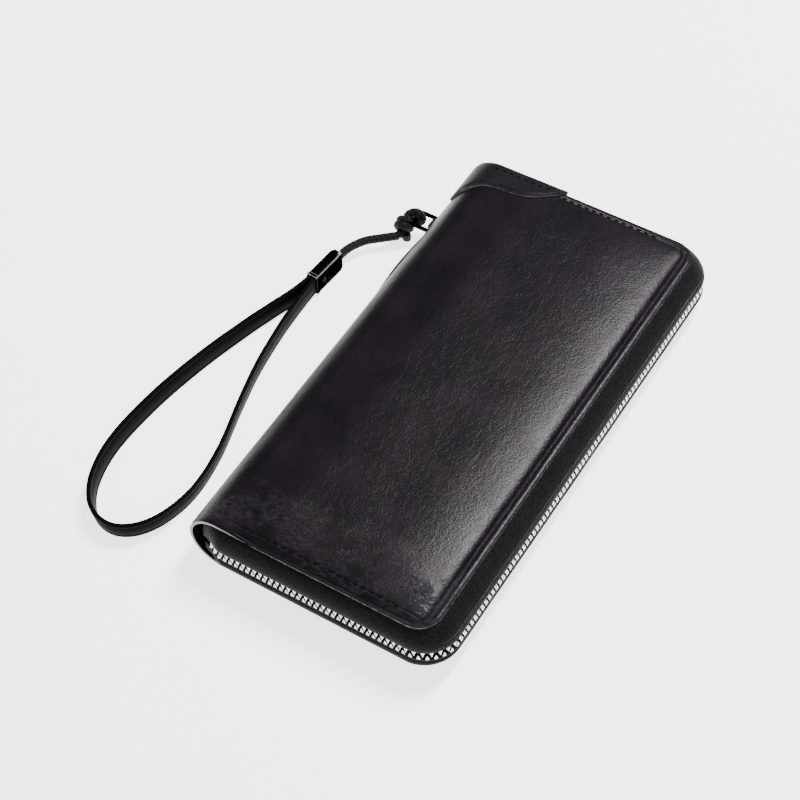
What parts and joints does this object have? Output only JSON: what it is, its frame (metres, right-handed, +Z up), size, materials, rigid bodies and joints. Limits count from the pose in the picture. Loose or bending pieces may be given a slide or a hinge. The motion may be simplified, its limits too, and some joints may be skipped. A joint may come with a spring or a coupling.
{
  "type": "long wallet",
  "caption": "Long leather zip-around wallet, closed and lying flat, with a card and coin interior and a wrist strap on a knotted cord.",
  "frame": {"origin": "centre of the cover's flat bottom face, on the surface the wallet lies on", "axes": "+Z up, +Y along the spine towards the end with the ring and corner patch, +X from the spine to the zip's long run"},
  "size_m": [0.1563, 0.2129, 0.0272],
  "materials": {
    "cover_leather": "waxed black leather, glossy, finely wrinkled",
    "patch_leather": "matte black leather",
    "gusset_leather": "matte dark grey-green leather, fine grain",
    "strap_leather": "smooth black leather with painted edges",
    "panel_leather": "thin black lining leather",
    "lining_fabric": "dark plain-woven lining",
    "padding_foam": "stiffened padding",
    "zip_tape": "woven black zip tape",
    "cord_braid": "round black braid",
    "zip_metal": "bright silver metal",
    "gunmetal": "dark glossy plated metal"
  },
  "bodies": {
    "back_half": {"back_cover": "cover_leather", "back_padding": "padding_foam", "back_lining": "lining_fabric", "back_card_panel_near_1": "panel_leather", "back_card_panel_near_2": "panel_leather", "back_card_panel_far_1": "panel_leather", "back_card_panel_far_2": "panel_leather", "back_gusset": "gusset_leather", "back_zip_tape": "zip_tape", "back_zip_teeth": "zip_metal", "zip_stop_back_near": "zip_metal", "zip_stop_back_far": "zip_metal", "ring_keeper_long": "patch_leather", "ring_keeper_short": "patch_leather", "ring_sleeve": "patch_leather"},
    "front_half": {"front_cover": "cover_leather", "front_padding": "padding_foam", "front_lining": "lining_fabric", "front_card_panel_near_1": "panel_leather", "front_card_panel_near_2": "panel_leather", "front_card_panel_far_1": "panel_leather", "front_card_panel_far_2": "panel_leather", "front_gusset": "gusset_leather", "front_zip_tape": "zip_tape", "front_zip_teeth": "zip_metal", "zip_stop_front_near": "zip_metal", "zip_stop_front_far": "zip_metal", "corner_patch": "patch_leather"},
    "coin_page": {"coin_pocket_back_wall": "panel_leather", "coin_pocket_front_wall": "panel_leather", "coin_pocket_gusset": "lining_fabric", "coin_back_tape": "zip_tape", "coin_front_tape": "zip_tape", "coin_back_teeth": "zip_metal", "coin_front_teeth": "zip_metal"},
    "main_slider": {"zip_slider": "zip_metal"},
    "main_pull": {"zip_pull": "zip_metal"},
    "small_slider": {"coin_slider": "zip_metal"},
    "small_pull": {"coin_pull": "zip_metal"},
    "ring_and_knot": {"strap_ring": "gunmetal", "cord_eye": "cord_braid", "cord_neck": "cord_braid", "cord_knot": "cord_braid"},
    "wrist_strap": {"strap_cord": "cord_braid", "strap_clasp": "gunmetal", "clasp_rivet": "gunmetal", "strap_loop": "strap_leather"}
  },
  "joints": [
    {"name": "cover_hinge", "type": "hinge", "parent": "back_half", "child": "front_half", "pos_m": [-0.0505, 0, 0.013], "axis": [0, -1, 0], "range_deg": [0, 90]},
    {"name": "coin_page_hinge", "type": "hinge", "parent": "back_half", "child": "coin_page", "pos_m": [-0.0505, 0, 0.013], "axis": [0, -1, 0], "range_deg": [0, 45]},
    {"name": "zip_slide", "type": "slide", "parent": "back_half", "child": "main_slider", "axis": [1, 0, 0], "range_m": [0, 0.046], "deforming": ["back_zip_teeth", "front_zip_teeth"]},
    {"name": "zip_pull_flip", "type": "hinge", "parent": "main_slider", "child": "main_pull", "pos_m": [-0.018, 0.1037, 0.013], "axis": [0, 0, -1], "range_deg": [0, 175]},
    {"name": "coin_slide", "type": "slide", "parent": "coin_page", "child": "small_slider", "axis": [0, -1, 0], "range_m": [0, 0.12], "deforming": ["coin_back_teeth", "coin_front_teeth"]},
    {"name": "coin_pull_flip", "type": "hinge", "parent": "small_slider", "child": "small_pull", "pos_m": [0.0327, 0.0705, 0.013], "axis": [0, 0, -1], "range_deg": [0, 175]},
    {"name": "ring_tilt", "type": "hinge", "parent": "back_half", "child": "ring_and_knot", "pos_m": [-0.05267, 0.071, 0.009], "axis": [0, -1, 0], "range_deg": [0, 45]},
    {"name": "strap_swing", "type": "hinge", "parent": "ring_and_knot", "child": "wrist_strap", "pos_m": [-0.06417, 0.0626, 0.005], "axis": [0, 0, 1], "range_deg": [-75, 2]}
  ],
  "couplings": [
    {"joint": "coin_page_hinge", "follows": "cover_hinge", "ratio": 0.5}
  ]
}
